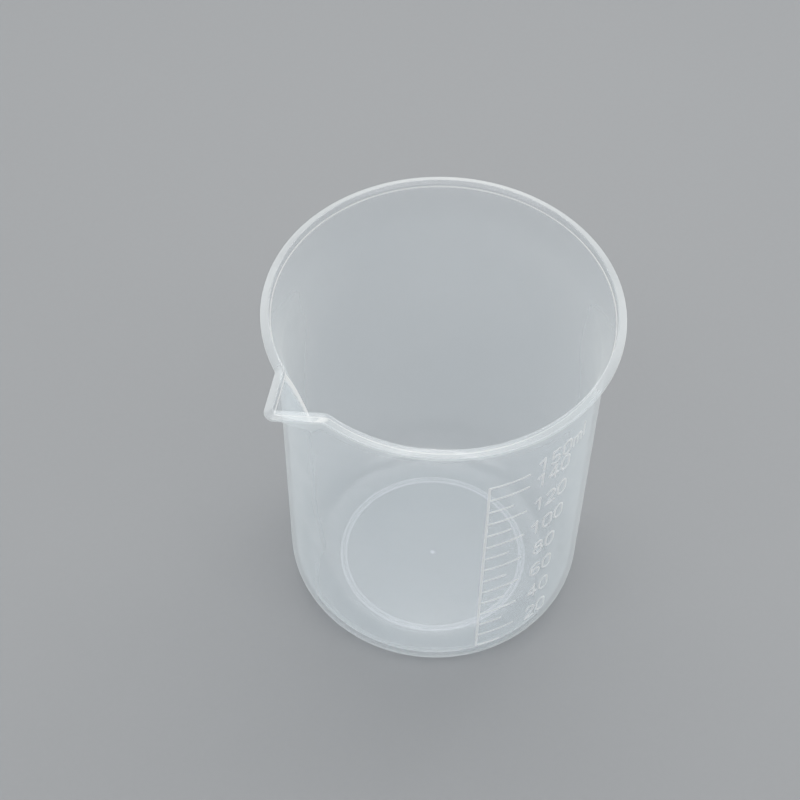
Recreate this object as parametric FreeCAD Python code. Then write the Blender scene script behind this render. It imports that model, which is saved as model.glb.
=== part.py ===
import FreeCAD, Part
import math
import os

# Plastic laboratory beaker with a moulded-in scale and a folded pouring spout.
# Millimetres. The origin is on the beaker's axis, in the plane that it rests on.
# +Z is up, the spout points along -X, and the scale faces -Y.
# Azimuths are in degrees about +Z, from 0 at -Y, and grow towards +X.

# Foot ring, gate mark and base
FOOT_HEIGHT = 0.4
FOOT_INNER_RADIUS = 17.7
FOOT_OUTER_RADIUS = 19.0
GATE_RADIUS = 1.1
GATE_HEIGHT = 0.25
BASE_THICKNESS = 1.3
BASE_TOP = 9.2
OUTER_CORNER_RADIUS = 8.5
INNER_CORNER_RADIUS = 7.4

# Wall
WALL_FOOT_RADIUS = 28.91
WALL_DRAFT = 1.1
WALL_THICKNESS = 0.9
WALL_TOP = 66.6

# Collar: the flared top of the wall
FLARE_START = 69.3
FLARE_RADIUS = 20.0
RIM_FOOT = 77.2

# Rim lip
RIM_RADIUS = 32.85
RIM_WIDTH = 1.74
RIM_EDGE_LOW = 77.9
RIM_EDGE_HIGH = 78.3
RIM_INNER_EDGE = 77.53
RIM_CREST_OFFSET = 1.38
RIM_CREST_WIDTH = 0.2
HEIGHT = 79.1

# Spout: two flat sides that meet in a rounded keel
SPOUT_HALF_ANGLE = 41.0
SPOUT_APEX = 40.2
SPOUT_TIP_RADIUS = 1.95
KEEL_FOOT_HEIGHT = 67.0
CHANNEL_FOOT_HEIGHT = 68.4
SPOUT_BACK = 22.0

# Scale
SCALE_AZIMUTH = -21.8
SCALE_RAISE = 0.25
SCALE_LINE_WIDTH = 0.5
FIRST_LINE_HEIGHT = 9.59
LINE_PITCH = 3.893
VOLUME_STEP = 10
LAST_VOLUME = 150
LONG_LINE_SWEEP = 15.5
SHORT_LINE_SWEEP = 9.8
NUMERALS = {20: "20", 40: "40", 60: "60", 80: "80", 100: "100", 120: "120", 140: "140", 150: "150ml"}

# Numerals
NUMERAL_AZIMUTH = 4.5
DIGITS_STEP = 5.85
UNIT_STEP = 4.3
DIGIT_HALF_WIDTH = 1.05
DIGIT_HALF_HEIGHT = 1.9
STROKE = 0.5
FLAG_REACH = 0.75
ONE_STEM = 0.35
FOUR_STEM = 0.4
LAST_NUMERAL_LIFT = 0.8
SLEEVE_SWEEP = 20.0

ORIGIN = FreeCAD.Vector(0, 0, 0)
UP = FreeCAD.Vector(0, 0, 1)
ACROSS = FreeCAD.Vector(1, 0, 0)
DRAFT = math.radians(WALL_DRAFT)
SPOUT_HALF = math.radians(SPOUT_HALF_ANGLE)
UNDERSIDE = FOOT_HEIGHT
FLOOR = FOOT_HEIGHT + BASE_THICKNESS


# ---- solids of revolution ----

def outer_radius(z):
    """Outer radius of the tapered wall at height z."""
    return WALL_FOOT_RADIUS + (z - BASE_TOP) * math.tan(DRAFT)


def inner_radius(z):
    """Inner radius of the tapered wall at height z."""
    return outer_radius(z) - WALL_THICKNESS / math.cos(DRAFT)


def line(start, end):
    """A straight edge between two (radius, height) points."""
    return Part.makeLine(FreeCAD.Vector(start[0], 0, start[1]), FreeCAD.Vector(end[0], 0, end[1]))


def arc(start, middle, end):
    """An arc through three (radius, height) points."""
    points = [FreeCAD.Vector(r, 0, z) for r, z in (start, middle, end)]
    return Part.Arc(*points).toShape()


def polygon(points):
    """The closed outline through (radius, height) points, as a list of edges."""
    return [line(a, b) for a, b in zip(points, points[1:] + points[:1])]


def turned(edges, sweep=360.0):
    """The solid that an outline in the XZ plane makes when it turns about Z."""
    face = Part.Face(Part.Wire(Part.__sortEdges__(edges)))
    return face.revolve(ORIGIN, UP, sweep)


def corner_points(radius, wall, floor):
    """Start, middle and end of the arc from a flat floor into the tapered wall."""
    centre_z = floor + radius
    centre_r = wall(centre_z) - radius / math.cos(DRAFT)
    points = []
    for angle in (-90.0, -45.0, -WALL_DRAFT):
        turn = math.radians(angle)
        points.append((centre_r + radius * math.cos(turn), centre_z + radius * math.sin(turn)))
    return points


def make_foot_ring():
    return turned(polygon([
        (FOOT_INNER_RADIUS, 0.0),
        (FOOT_OUTER_RADIUS, 0.0),
        (FOOT_OUTER_RADIUS, UNDERSIDE),
        (FOOT_INNER_RADIUS, UNDERSIDE),
    ]))


def make_gate_mark():
    """The low stud that the mould's gate leaves at the middle of the underside."""
    return Part.makeCone(0.6 * GATE_RADIUS, GATE_RADIUS, GATE_HEIGHT, FreeCAD.Vector(0, 0, UNDERSIDE - GATE_HEIGHT))


def make_base():
    outer = corner_points(OUTER_CORNER_RADIUS, outer_radius, UNDERSIDE)
    inner = corner_points(INNER_CORNER_RADIUS, inner_radius, FLOOR)
    outer_top = (outer_radius(BASE_TOP), BASE_TOP)
    inner_top = (inner_radius(BASE_TOP), BASE_TOP)
    return turned([
        line((0.0, UNDERSIDE), outer[0]),
        arc(*outer),
        line(outer[2], outer_top),
        line(outer_top, inner_top),
        line(inner_top, inner[2]),
        arc(*inner),
        line(inner[0], (0.0, FLOOR)),
        line((0.0, FLOOR), (0.0, UNDERSIDE)),
    ])


def make_wall():
    return turned(polygon([
        (inner_radius(BASE_TOP), BASE_TOP),
        (outer_radius(BASE_TOP), BASE_TOP),
        (outer_radius(WALL_TOP), WALL_TOP),
        (inner_radius(WALL_TOP), WALL_TOP),
    ]))


# The flare's two faces are arcs about one centre, so the collar keeps the wall's thickness.
FLARE_CENTRE_R = inner_radius(FLARE_START) + FLARE_RADIUS * math.cos(DRAFT)
FLARE_CENTRE_Z = FLARE_START - FLARE_RADIUS * math.sin(DRAFT)
FLARE_OUTER_RADIUS = FLARE_RADIUS - WALL_THICKNESS


def flare_point(radius, z):
    """The point at height z on the flare arc of the given radius."""
    return (FLARE_CENTRE_R - math.sqrt(radius ** 2 - (z - FLARE_CENTRE_Z) ** 2), z)


def flare_arc(radius):
    """Start, middle and end of one face of the flare, from the wall up to the rim."""
    start = (FLARE_CENTRE_R - radius * math.cos(DRAFT), FLARE_CENTRE_Z + radius * math.sin(DRAFT))
    middle = flare_point(radius, (FLARE_START + RIM_FOOT) / 2)
    return [start, middle, flare_point(radius, RIM_FOOT)]


def collar_outside():
    """The outer edges of the collar, from the wall's top up to the rim."""
    outer = flare_arc(FLARE_OUTER_RADIUS)
    return [line((outer_radius(WALL_TOP), WALL_TOP), outer[0]), arc(*outer)]


def collar_ring():
    outer = flare_arc(FLARE_OUTER_RADIUS)
    inner = flare_arc(FLARE_RADIUS)
    inner_foot = (inner_radius(WALL_TOP), WALL_TOP)
    return turned(collar_outside() + [
        line(outer[2], inner[2]),
        arc(*inner),
        line(inner[0], inner_foot),
        line(inner_foot, (outer_radius(WALL_TOP), WALL_TOP)),
    ])


def collar_plug():
    """The collar filled in to the axis."""
    top = flare_point(FLARE_OUTER_RADIUS, RIM_FOOT)
    return turned(collar_outside() + [
        line(top, (0.0, RIM_FOOT)),
        line((0.0, RIM_FOOT), (0.0, WALL_TOP)),
        line((0.0, WALL_TOP), (outer_radius(WALL_TOP), WALL_TOP)),
    ])


# The rim's section, as (distance in from the outer edge, height). The outer face runs
# from its foot to the crest, and the inner face runs up beside the opening.
RIM_OUTER_FACE = [
    (RIM_RADIUS - flare_point(FLARE_OUTER_RADIUS, RIM_FOOT)[0], RIM_FOOT),
    (0.0, RIM_EDGE_LOW),
    (0.0, RIM_EDGE_HIGH),
    (RIM_CREST_OFFSET, HEIGHT),
]
RIM_INNER_FACE = [
    (RIM_RADIUS - flare_point(FLARE_RADIUS, RIM_FOOT)[0], RIM_FOOT),
    (RIM_WIDTH, RIM_INNER_EDGE),
    (RIM_CREST_OFFSET + RIM_CREST_WIDTH, HEIGHT),
]


def rim_ring():
    section = RIM_OUTER_FACE + RIM_INNER_FACE[::-1]
    return turned(polygon([(RIM_RADIUS - offset, z) for offset, z in section]))


# ---- spout ----

def spout_point(along, aside, z):
    """A point by its distance along the spout's direction and to one side of it."""
    return FreeCAD.Vector(-along, aside, z)


def tip_reach(offset):
    """How far the rounded tip of the V reaches, for an outline set in by offset."""
    return SPOUT_APEX - offset / math.sin(SPOUT_HALF) - SPOUT_TIP_RADIUS * (1 / math.sin(SPOUT_HALF) - 1)


def v_face(reach, z):
    """A flat V-shaped face at height z, with a rounded tip that reaches that far out."""
    centre = reach - SPOUT_TIP_RADIUS
    apex = centre + SPOUT_TIP_RADIUS / math.sin(SPOUT_HALF)
    tangent_along = centre + SPOUT_TIP_RADIUS * math.sin(SPOUT_HALF)
    tangent_aside = SPOUT_TIP_RADIUS * math.cos(SPOUT_HALF)
    back_aside = (apex - SPOUT_BACK) * math.tan(SPOUT_HALF)
    left_back = spout_point(SPOUT_BACK, -back_aside, z)
    left = spout_point(tangent_along, -tangent_aside, z)
    tip = spout_point(reach, 0.0, z)
    right = spout_point(tangent_along, tangent_aside, z)
    right_back = spout_point(SPOUT_BACK, back_aside, z)
    edges = [
        Part.makeLine(left_back, left),
        Part.Arc(left, tip, right).toShape(),
        Part.makeLine(right, right_back),
        Part.makeLine(right_back, left_back),
    ]
    return Part.Face(Part.Wire(edges))


def v_prism(lower, upper):
    """The slanted prism between two V outlines, each given as (reach, height)."""
    slant = spout_point(upper[0] - lower[0], 0.0, upper[1] - lower[1])
    return v_face(*lower).extrude(slant)


def keel_prism(offset, foot_radius, foot_height):
    """The prism under the rim whose keel line meets the wall at its foot, and runs on inside."""
    top = (tip_reach(offset), RIM_FOOT)
    slope = (top[0] - foot_radius) / (top[1] - foot_height)
    below = (top[0] - slope * (RIM_FOOT - WALL_TOP), WALL_TOP)
    return v_prism(below, top)


def lip_stack(face):
    """Prisms stacked along one face of the rim's section, carried round the V."""
    levels = [(tip_reach(offset), z) for offset, z in face]
    prisms = [v_prism(low, high) for low, high in zip(levels, levels[1:])]
    return prisms[0].multiFuse(prisms[1:])


def rim_root(offset):
    """Where the V outline set in by offset crosses the rim circle set in as far."""
    radius = RIM_RADIUS - offset
    apex = SPOUT_APEX - offset / math.sin(SPOUT_HALF)
    slope = 1 / math.tan(SPOUT_HALF)
    a = 1 + slope ** 2
    b = -2 * apex * slope
    c = apex ** 2 - radius ** 2
    aside = (-b - math.sqrt(b ** 2 - 4 * a * c)) / (2 * a)
    return (apex - aside * slope, aside)


def mitre_wedge():
    """The upright wedge whose sides are the mitres between the round rim and the V lip."""
    outer = rim_root(0.0)
    inner = rim_root(RIM_WIDTH)
    spread = (outer[1] - inner[1]) / (outer[0] - inner[0])
    meet = inner[0] - inner[1] / spread
    start = (SPOUT_BACK + RIM_RADIUS) / 2
    end = 2 * RIM_RADIUS
    corners = [
        spout_point(start, -(start - meet) * spread, RIM_FOOT - 1),
        spout_point(end, -(end - meet) * spread, RIM_FOOT - 1),
        spout_point(end, (end - meet) * spread, RIM_FOOT - 1),
        spout_point(start, (start - meet) * spread, RIM_FOOT - 1),
    ]
    face = Part.Face(Part.makePolygon(corners + corners[:1]))
    return face.extrude(UP * (HEIGHT - RIM_FOOT + 2))


def make_collar(channel):
    return collar_ring().cut(channel)


def make_spout(channel):
    outside = keel_prism(RIM_OUTER_FACE[0][0], outer_radius(KEEL_FOOT_HEIGHT), KEEL_FOOT_HEIGHT)
    return outside.cut(channel).cut(collar_plug())


def make_rim(wedge):
    return rim_ring().cut(wedge)


def make_spout_lip(wedge):
    return lip_stack(RIM_OUTER_FACE).cut(lip_stack(RIM_INNER_FACE)).common(wedge)


# ---- scale ----

def line_height(volume):
    return FIRST_LINE_HEIGHT + LINE_PITCH * (volume / VOLUME_STEP - 1)


def raised_band(low, high, start, sweep):
    """A thin band on the outside of the wall, between two heights and over a span of azimuth."""
    band = turned(polygon([
        (outer_radius(low), low),
        (outer_radius(low) + SCALE_RAISE, low),
        (outer_radius(high) + SCALE_RAISE, high),
        (outer_radius(high), high),
    ]), sweep)
    return band.rotate(ORIGIN, UP, start - 90.0)


def spine_sweep():
    """The azimuth that the scale's upright line takes up."""
    return math.degrees(SCALE_LINE_WIDTH / outer_radius(line_height(LAST_VOLUME) / 2))


def make_scale_spine():
    low = line_height(VOLUME_STEP) - SCALE_LINE_WIDTH / 2
    high = line_height(LAST_VOLUME) + SCALE_LINE_WIDTH / 2
    return raised_band(max(low, BASE_TOP), high, SCALE_AZIMUTH - spine_sweep() / 2, spine_sweep())


def make_scale_line(volume):
    z = line_height(volume)
    sweep = LONG_LINE_SWEEP if volume in NUMERALS else SHORT_LINE_SWEEP
    edge = spine_sweep() / 2
    return raised_band(z - SCALE_LINE_WIDTH / 2, z + SCALE_LINE_WIDTH / 2, SCALE_AZIMUTH + edge, sweep - edge)


# ---- numerals, drawn as strokes with round ends ----

def bar(x0, y0, x1, y1):
    """A straight stroke between two points."""
    start = FreeCAD.Vector(x0, y0, 0)
    end = FreeCAD.Vector(x1, y1, 0)
    along = (end - start).normalize() * (STROKE / 2)
    side = FreeCAD.Vector(-along.y, along.x, 0)
    return Part.Face(Part.Wire([
        Part.makeLine(start + side, end + side),
        Part.Arc(end + side, end + along, end - side).toShape(),
        Part.makeLine(end - side, start - side),
        Part.Arc(start - side, start - along, start + side).toShape(),
    ]))


def bow(x, y, radius, first, last):
    """A curved stroke about (x, y), from the first angle to the last, in degrees."""
    half = STROKE / 2

    def at(angle, reach, ahead=0.0):
        turn = math.radians(angle)
        across = FreeCAD.Vector(math.cos(turn), math.sin(turn), 0)
        forward = FreeCAD.Vector(-math.sin(turn), math.cos(turn), 0)
        return FreeCAD.Vector(x, y, 0) + across * reach + forward * ahead

    middle = (first + last) / 2
    return Part.Face(Part.Wire([
        Part.Arc(at(first, radius + half), at(middle, radius + half), at(last, radius + half)).toShape(),
        Part.Arc(at(last, radius + half), at(last, radius, half), at(last, radius - half)).toShape(),
        Part.Arc(at(last, radius - half), at(middle, radius - half), at(first, radius - half)).toShape(),
        Part.Arc(at(first, radius - half), at(first, radius, -half), at(first, radius + half)).toShape(),
    ]))


def glyph(character):
    """The strokes of one character, centred on the origin of the XY plane."""
    w = DIGIT_HALF_WIDTH
    h = DIGIT_HALF_HEIGHT
    bend = h - w
    if character == "0":
        return [
            bow(0, bend, w, 0, 180),
            bow(0, -bend, w, 180, 360),
            bar(w, bend, w, -bend),
            bar(-w, bend, -w, -bend),
        ]
    if character == "1":
        return [bar(-FLAG_REACH, 0.5 * h, ONE_STEM, h), bar(ONE_STEM, h, ONE_STEM, -h)]
    if character == "2":
        turn = math.radians(-40)
        return [
            bow(0, bend, w, -40, 160),
            bar(w * math.cos(turn), bend + w * math.sin(turn), -w, -h),
            bar(-w, -h, w, -h),
        ]
    if character == "4":
        return [
            bar(FOUR_STEM, h, -w, -0.4 * h),
            bar(-w, -0.4 * h, w, -0.4 * h),
            bar(FOUR_STEM, h, FOUR_STEM, -h),
        ]
    if character == "5":
        turn = math.radians(140)
        return [
            bar(0.8 * w, h, -0.7 * w, h),
            bar(-0.7 * w, h, w * math.cos(turn), -bend + w * math.sin(turn)),
            bow(0, -bend, w, -150, 140),
        ]
    if character == "6":
        return [
            bow(0, -bend, w, 0, 180),
            bow(0, -bend, w, 180, 360),
            bar(-w, -bend, -w, bend),
            bow(0, bend, w, 40, 180),
        ]
    if character == "8":
        small = 0.83 * w
        return [
            bow(0, h - small, small, 0, 180),
            bow(0, h - small, small, 180, 360),
            bow(0, -bend, w, 0, 180),
            bow(0, -bend, w, 180, 360),
        ]
    if character == "m":
        hump = 0.55 * w
        shoulder = -0.05 * h
        return [
            bar(-2 * hump, shoulder + hump, -2 * hump, -h),
            bow(-hump, shoulder, hump, 0, 180),
            bar(0, shoulder, 0, -h),
            bow(hump, shoulder, hump, 0, 180),
            bar(2 * hump, shoulder, 2 * hump, -h),
        ]
    if character == "l":
        return [bar(0, h, 0, -h)]
    raise ValueError("no strokes for " + character)


def raised_glyph(character, azimuth, z):
    """One character standing out of the wall at an azimuth and height."""
    depth = SCALE_RAISE + WALL_THICKNESS + 1.0
    start = outer_radius(z) - depth / 2
    solids = []
    for face in glyph(character):
        solid = face.extrude(UP * depth)
        solid.translate(UP * start)
        solid.rotate(ORIGIN, ACROSS, 90.0)
        solid.translate(UP * z)
        solids.append(solid.rotate(ORIGIN, UP, azimuth))
    whole = solids[0].multiFuse(solids[1:]) if len(solids) > 1 else solids[0]
    reach = DIGIT_HALF_HEIGHT + STROKE
    sleeve = raised_band(z - reach, z + reach, azimuth - SLEEVE_SWEEP / 2, SLEEVE_SWEEP)
    return whole.common(sleeve).removeSplitter()


def make_numeral(volume):
    text = NUMERALS[volume]
    digits = [c for c in text if c.isdigit()]
    azimuth = NUMERAL_AZIMUTH - DIGITS_STEP * (len(digits) - 1) / 2
    z = line_height(volume)
    if volume == LAST_VOLUME:
        z += LAST_NUMERAL_LIFT
    glyphs = []
    for character in text:
        if character == "l":
            azimuth += UNIT_STEP - DIGITS_STEP
        glyphs.append(raised_glyph(character, azimuth, z))
        azimuth += DIGITS_STEP
    return Part.makeCompound(glyphs)


def build():
    channel = keel_prism(RIM_INNER_FACE[0][0], inner_radius(CHANNEL_FOOT_HEIGHT), CHANNEL_FOOT_HEIGHT)
    wedge = mitre_wedge()
    nodes = {
        "foot_ring": make_foot_ring(),
        "gate_mark": make_gate_mark(),
        "base": make_base(),
        "wall": make_wall(),
        "collar": make_collar(channel),
        "rim": make_rim(wedge),
        "spout": make_spout(channel),
        "spout_lip": make_spout_lip(wedge),
        "scale_spine": make_scale_spine(),
    }
    for volume in range(VOLUME_STEP, LAST_VOLUME + 1, VOLUME_STEP):
        nodes[f"scale_line_{volume}"] = make_scale_line(volume)
    for volume in NUMERALS:
        nodes[f"numeral_{volume}"] = make_numeral(volume)
    return nodes


def main():
    os.makedirs("parts", exist_ok=True)
    for name, shape in build().items():
        if not shape.isValid() or not shape.Solids:
            raise RuntimeError(name + " is not a valid solid")
        shape.exportStep(f"parts/{name}.step")
        print(f"{name}: {len(shape.Solids)} solid(s), {shape.Volume:.2f} mm3")


main()
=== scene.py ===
"""A squat 150 ml laboratory beaker in translucent polypropylene, with a folded spout and a raised scale."""
import math
from collections import namedtuple

import bmesh
import bpy
from bpy.props import FloatProperty, FloatVectorProperty, IntProperty, PointerProperty
from mathutils import Matrix, Vector


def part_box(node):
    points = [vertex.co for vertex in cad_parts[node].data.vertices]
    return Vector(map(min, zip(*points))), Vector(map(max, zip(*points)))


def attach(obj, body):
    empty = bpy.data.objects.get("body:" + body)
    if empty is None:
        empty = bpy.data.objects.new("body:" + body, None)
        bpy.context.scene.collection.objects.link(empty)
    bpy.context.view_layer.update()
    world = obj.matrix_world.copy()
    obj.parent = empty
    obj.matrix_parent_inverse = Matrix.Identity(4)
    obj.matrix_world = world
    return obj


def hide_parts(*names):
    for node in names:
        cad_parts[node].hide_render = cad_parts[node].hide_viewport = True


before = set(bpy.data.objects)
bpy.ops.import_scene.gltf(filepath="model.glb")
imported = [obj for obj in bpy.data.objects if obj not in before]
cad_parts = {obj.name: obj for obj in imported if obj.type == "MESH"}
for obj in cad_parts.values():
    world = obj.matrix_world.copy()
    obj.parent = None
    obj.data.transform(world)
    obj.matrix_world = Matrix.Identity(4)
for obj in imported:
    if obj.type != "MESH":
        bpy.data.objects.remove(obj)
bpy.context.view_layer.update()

bl_info = {
    "name": "Laboratory Beaker",
    "version": (1, 0, 0),
    "blender": (4, 5, 0),
    "location": "3D View > Sidebar > Beaker",
    "description": "Builds a moulded plastic beaker with a folded spout and a raised volume scale",
    "category": "Add Mesh",
}

MM = 0.001
BODY = "root"

# Depth of plastic that each region's faces stand for, in millimetres. The deeper it is, the paler and less
# clear a face looks. The underside of the base stands for the foot ring and the gate mark too. Some depths
# are
# painted light: the line along the rim's step edge is a painted highlight, and the pale ring edges and the
# gate mark's nub are partly real plastic and partly painted light.
WALL_DEPTH = 0.45
BASE_DEPTH = 0.7
# Pale bands along the foot ring's edges: partly the ring's real plastic and partly painted light carried
# through the plastic
RING_EDGE_DEPTH_AND_LIGHT = 2.6
# Pale nub on the gate mark: partly the mark's real plastic and partly painted light carried through the
# plastic
NUB_DEPTH_AND_LIGHT = 3.0
RIM_DEPTH = 0.95
STEP_DEPTH = 0.35
# Painted highlight: extra depth that draws a pale line along the rim's inner step edge, where light catches
# it
STEP_EDGE_HIGHLIGHT = 3.0
SCALE_DEPTH = 1.3
FOOT_DEPTH = 0.01

# Share of the light that each finish mirrors when it is faced squarely
SKIN_GLOSS = 0.045
SCALE_GLOSS = 0.015
BURIED_GLOSS = 0.006

# Index that bounds how much a slanted view lengthens the way through the plastic
SLANT_INDEX = 1.03

# Distances between the rows of the shell's section, and the widths of its soft changes
FLAT_STEP = 2.5 * MM
WALL_STEP = 6.0 * MM
FLARE_STEP = 0.5 * MM
RIM_STEP = 0.15 * MM
LEAST_STEP = 0.05 * MM
SOFT_EDGE = 0.1 * MM
FOLD_HIGHLIGHT_SOFTNESS = 0.15 * MM
# How far the painted highlight along the rim's step edge reaches
STEP_EDGE_HIGHLIGHT_REACH = 0.3 * MM

# Steps along curves, and sides of the round pieces
CORNER_STEPS = 20
ROUND_STEPS = 4
DOME_STEPS = 8
BAR_STEPS = 6
LINE_STEPS = 24
RING_SIDES = 180
GATE_SIDES = 48
STUD_SIDES = 20
SHOULDER_STEPS = 3

# Azimuths to each side of the spout with close columns, and the turns between close and plain columns
SPOUT_SWEEP = math.radians(52)
SPOUT_TURN = math.radians(0.4)
PLAIN_TURN = math.radians(1.5)

# Heights and radii that the frame fixes
RIM_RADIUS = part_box("rim")[1].x
RIM_FOOT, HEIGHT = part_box("rim")[0].z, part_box("rim")[1].z
UNDERSIDE, BASE_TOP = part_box("base")[0].z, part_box("base")[1].z
FOOT_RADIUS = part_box("base")[1].x
WALL_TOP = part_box("wall")[1].z
DRAFT = math.atan2(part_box("wall")[1].x - FOOT_RADIUS, WALL_TOP - BASE_TOP)
SPOUT_REACH = -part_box("spout_lip")[0].x
KEEL_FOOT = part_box("spout")[0].z
RING_RADIUS, RING_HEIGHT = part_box("foot_ring")[1].x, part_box("foot_ring")[1].z
GATE_RADIUS, GATE_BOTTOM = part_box("gate_mark")[1].x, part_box("gate_mark")[0].z

VOLUMES = sorted(int(n.split("_")[-1]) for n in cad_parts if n.startswith("scale_line_"))
NUMERALS = {int(n.split("_")[-1]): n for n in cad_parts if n.startswith("numeral_")}


def middle_height(node):
    """Height of the middle of a node's box."""
    low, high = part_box(node)
    return (low.z + high.z) / 2


FIRST_LINE = middle_height(f"scale_line_{VOLUMES[0]}")
LAST_LINE = middle_height(f"scale_line_{VOLUMES[-1]}")
LINE_PITCH = (LAST_LINE - FIRST_LINE) / (len(VOLUMES) - 1)


def outer_radius(z):
    """Outer radius of the tapered wall at a height."""
    return FOOT_RADIUS + (z - BASE_TOP) * math.tan(DRAFT)


# ---- sizes and colours ----

def length(name, description, default):
    """A length that can be changed, in metres."""
    return FloatProperty(
        name=name, description=description, default=default, min=0.0, unit="LENGTH", precision=5)


def angle(name, description, degrees):
    """An angle that can be changed, given in degrees and kept in radians."""
    return FloatProperty(
        name=name, description=description, default=math.radians(degrees), unit="ROTATION")


def share(name, description, default):
    """A share from 0 to 1 that can be changed."""
    return FloatProperty(
        name=name, description=description, default=default, min=0.0, max=1.0, subtype="FACTOR")


def tint(name, description, default):
    """A colour that can be changed."""
    return FloatVectorProperty(
        name=name, description=description, default=default, size=3, min=0.0, max=1.0, subtype="COLOR")


class ShellSizes(bpy.types.PropertyGroup):
    wall: length("Wall", "Thickness of the wall and the collar", 0.9 * MM)
    base: length("Base", "Thickness of the base", 1.3 * MM)
    outer_corner: length("Outer corner", "Radius of the base's corner outside", 8.5 * MM)
    inner_corner: length("Inner corner", "Radius of the base's corner inside", 7.4 * MM)
    flare_start: length("Flare start", "Height where the collar starts to flare", 69.3 * MM)
    flare_radius: length("Flare radius", "Radius of the flare's inner face", 20.0 * MM)
    rim_width: length("Rim width", "Width of the rim's lip", 1.74 * MM)
    rim_edge_low: length("Rim edge low", "Height of the foot of the rim's upright edge", 77.9 * MM)
    rim_edge_high: length("Rim edge high", "Height of the top of the rim's upright edge", 78.3 * MM)
    rim_inner_edge: length("Rim inner edge", "Height of the lip's step inside", 77.53 * MM)
    crest_offset: length("Crest offset", "Distance of the crest in from the rim's edge", 1.38 * MM)
    crest_width: length("Crest width", "Width of the flat on the crest", 0.2 * MM)
    edge_round: length("Edge round", "Radius of the rim's moulded edges", 0.16 * MM)
    spout_half_angle: angle("Spout half angle", "Half the angle between the spout's sides", 41.0)
    spout_tip: length("Spout tip", "Radius of the spout's tip", 1.95 * MM)
    inner_tip: length("Inner tip", "Smallest radius of the spout's tip, inside the channel", 0.35 * MM)
    spout_blend: length("Spout blend", "Width of the soft fold between wall and spout", 0.5 * MM)
    # The fold's width and depth below set a painted highlight: a pale band of extra depth standing in for
    # light caught on the rounded fold
    fold_width: length("Fold width", "Reach of the thick plastic along the fold", 0.8 * MM)
    fold_depth: FloatProperty(
        name="Fold highlight", description="Extra depth of plastic along the fold, in millimetres", default=1.8)
    channel_step: length("Channel step", "Height of the channel's foot above the keel's", 1.4 * MM)


class FootSizes(bpy.types.PropertyGroup):
    ring_width: length("Ring width", "Width of the foot ring", 1.3 * MM)
    edge_round: length("Edge round", "Radius of the ring's edges", 0.12 * MM)
    # The pale band along each ring edge is partly painted light
    edge_band: length("Edge band", "Width of the pale band along each edge of the ring", 0.36 * MM)
    # The pale nub is partly painted light
    nub: length("Nub", "Radius of the pale nub in the middle of the gate mark", 0.4 * MM)
    sink: length("Sink", "How far the ring and the gate mark run up into the base", 0.12 * MM)


class ScaleSizes(bpy.types.PropertyGroup):
    azimuth: angle("Scale azimuth", "Azimuth of the upright line, from the front", -21.8)
    long_sweep: angle("Long line", "Azimuth that a line with a numeral takes up", 15.5)
    short_sweep: angle("Short line", "Azimuth that a line with no numeral takes up", 9.8)
    numeral_azimuth: angle("Numeral azimuth", "Azimuth of the middle of each numeral's digits", 4.5)
    digit_step: angle("Digit step", "Azimuth from one digit to the next", 5.85)
    unit_step: angle("Unit step", "Azimuth from the unit's first letter to its second", 4.3)
    half_width: length("Digit half width", "Half a digit's width, to its stroke's middle", 1.05 * MM)
    half_height: length("Digit half height", "Half a digit's height, to its stroke's middle", 1.9 * MM)
    spine_width: length("Upright line width", "Width of the scale's upright line", 0.5 * MM)
    line_width: length("Line width", "Width of the volume lines", 0.32 * MM)
    stroke: length("Stroke", "Width of the numerals' strokes", 0.38 * MM)
    raised: length("Raised", "How far the scale stands out of the wall", 0.12 * MM)
    sunk: length("Sunk", "How far the scale's back lies inside the wall", 0.1 * MM)
    shoulder: share("Shoulder", "Radius of a stroke's rounded shoulders, as a share of its width", 0.18)
    cell: length("Cell", "Size of the cells in which the strokes are joined", 0.07 * MM)
    segments: IntProperty(
        name="Segments", description="Number of steps along a curved stroke", default=14, min=4, max=64)


class Finish(bpy.types.PropertyGroup):
    skin: tint("Plastic", "Colour of the milky plastic", (0.81, 0.895, 0.92))
    pale: tint("Pale plastic", "Colour where the plastic is thick or cloudy", (0.95, 0.945, 0.93))
    scale: tint("Scale", "Colour of the raised scale", (0.96, 0.96, 0.95))
    clear: tint("Clear", "Colour that each face gives to what is seen through it", (0.985, 0.99, 1.0))
    milkiness: FloatProperty(
        name="Milkiness", description="Scattering in each millimetre of plastic", default=0.28, min=0.0)
    clouding: share("Clouding", "How much broad clouds change the milkiness", 0.36)
    flow_marks: share("Flow marks", "How much the marks of the flow change the milkiness", 0.12)
    roughness: share("Roughness", "Roughness of the moulded skin", 0.2)
    translucent: share("Translucent", "Share of the scattered light that goes on through", 0.45)
    floor: tint("Floor", "Colour of the floor", (0.266, 0.275, 0.285))


class StageSizes(bpy.types.PropertyGroup):
    floor: length("Floor", "Side of the floor", 3.0)
    sky: tint("Sky", "Colour of the light from all round", (0.98, 0.99, 1.0))
    sky_strength: FloatProperty(
        name="Sky strength", description="Strength of the light from all round", default=0.76, min=0.0)
    aim: length("Aim", "Height of the point that the soft lights face", 30.0 * MM)
    lens: FloatProperty(
        name="Lens", description="Focal length of the camera, in millimetres", default=100.67)
    sensor: FloatProperty(
        name="Sensor", description="Width of the camera's sensor, in millimetres", default=36.0)
    clip: length("Clip", "Nearest distance that the camera sees", 10.0 * MM)
    distance: length("Distance", "Distance of the camera from the middle of the wall", 437.06 * MM)
    target: length("Target", "Height of the middle of the wall", 32.85 * MM)
    azimuth: angle("Azimuth", "Azimuth of the camera about the beaker", -40.5)
    elevation: angle("Elevation", "Elevation of the camera about the beaker", 54.0742)
    look_azimuth: angle("Look azimuth", "Azimuth that the camera looks back along", -38.832)
    look_down: angle("Look down", "Angle by which the camera looks down", 52.5697)
    roll: angle("Roll", "Turn of the camera about its own line of sight", 1.298)


# ---- node trees ----

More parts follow.
